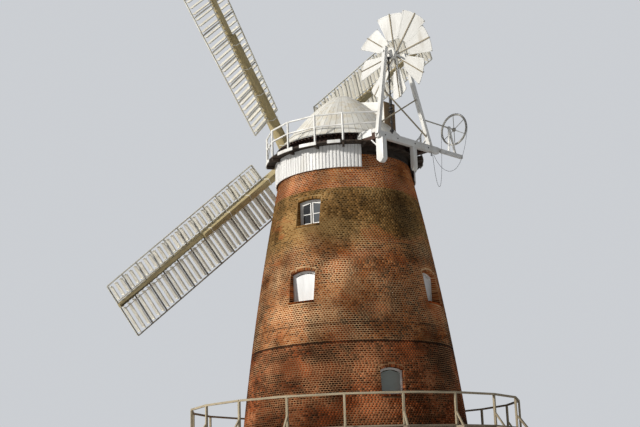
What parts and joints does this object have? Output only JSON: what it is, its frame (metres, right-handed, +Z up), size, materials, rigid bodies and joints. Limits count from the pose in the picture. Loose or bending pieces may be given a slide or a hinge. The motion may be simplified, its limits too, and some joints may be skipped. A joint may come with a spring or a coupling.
{
  "type": "traditional windmill",
  "caption": "Round tapering brick tower mill with a timber stage, a domed turning cap with a gallery, shuttered sails and a fantail.",
  "frame": {"origin": "centre of the tower on the ground", "axes": "+Z up the tower, -Y towards the sails, +X to the right seen from behind"},
  "size_m": [16.389, 13.2054, 23.582],
  "materials": {
    "brick": "weathered red brick laid in lime mortar",
    "floor_tiles": "worn clay floor bricks",
    "timber": "weathered softwood",
    "white_paint": "white gloss paint on timber",
    "white_boards": "white painted vertical boards",
    "window_glass": "dark window glass",
    "dark_boards": "tarred boards",
    "cap_covering": "grey-white painted sheet covering",
    "iron": "black painted iron",
    "sail_timber": "varnished pitch pine",
    "sail_white": "white painted timber and cloth"
  },
  "bodies": {
    "tower": {"tower_wall_1": "brick", "tower_wall_2": "brick", "tower_wall_3": "brick", "tower_wall_4": "brick", "tower_wall_5": "brick", "tower_wall_6": "brick", "tower_wall_7": "brick", "tower_wall_8": "brick", "ground_floor": "floor_tiles", "upper_floors": "timber", "window_and_door_frames": "white_paint", "window_boards": "white_paint", "window_glass": "window_glass", "doors": "white_paint", "stage_deck": "timber", "stage_joists": "timber", "stage_struts": "timber", "stage_rail_1": "white_paint", "stage_rail_2": "white_paint", "stage_rail_3": "white_paint", "stage_rail_4": "white_paint", "curb": "timber"},
    "cap": {"cap_ring": "timber", "cap_gallery_deck": "timber", "cap_skirt": "white_boards", "cap_sheers": "timber", "cap_cross_beams": "timber", "cap_drum": "dark_boards", "cap_dome": "cap_covering", "breast_boards": "white_paint", "rear_hood": "white_paint", "cap_rail_right": "white_paint", "cap_rail_left": "white_paint", "shaft_bearings": "iron", "fan_posts": "white_paint", "fan_braces": "iron", "rear_beam": "white_paint", "hanging_posts": "white_paint", "fan_stage_deck": "timber", "shaft_seat": "iron", "chain_wheel_stand": "white_paint", "chain": "iron", "chain_hook": "iron"},
    "sails": {"windshaft": "iron", "poll_end": "iron", "sail_stock_1": "sail_timber", "sail_stock_2": "sail_timber", "sail_frame_1": "sail_white", "sail_frame_2": "sail_white", "sail_frame_3": "sail_white", "sail_frame_4": "sail_white", "sail_shutters": "sail_white"},
    "fantail": {"fan_axle": "iron", "fan_spokes": "white_paint", "fan_blades": "sail_white"},
    "fan_drive": {"fan_drive_shaft": "iron"},
    "striking_wheel": {"chain_wheel": "iron"}
  },
  "joints": [
    {"name": "cap_turn", "type": "hinge", "parent": "tower", "child": "cap", "pos_m": [0, 0, 14.2], "axis": [0, 0, 1], "continuous": true},
    {"name": "sails_turn", "type": "hinge", "parent": "cap", "child": "sails", "pos_m": [0, 0, 14.822], "axis": [0, -0.9763, 0.2164], "continuous": true},
    {"name": "fan_turn", "type": "hinge", "parent": "cap", "child": "fantail", "pos_m": [0, 2.95, 18.23], "axis": [1, 0, 0], "continuous": true},
    {"name": "fan_drive_turn", "type": "hinge", "parent": "cap", "child": "fan_drive", "pos_m": [0.423, 2.95, 15], "axis": [0, 0, 1], "continuous": true},
    {"name": "chain_wheel_turn", "type": "hinge", "parent": "cap", "child": "striking_wheel", "pos_m": [-3.2, 3.12433, 15.8], "axis": [1, 0, 0], "continuous": true}
  ],
  "couplings": [
    {"joint": "fan_drive_turn", "follows": "fan_turn", "ratio": 3.0667}
  ]
}
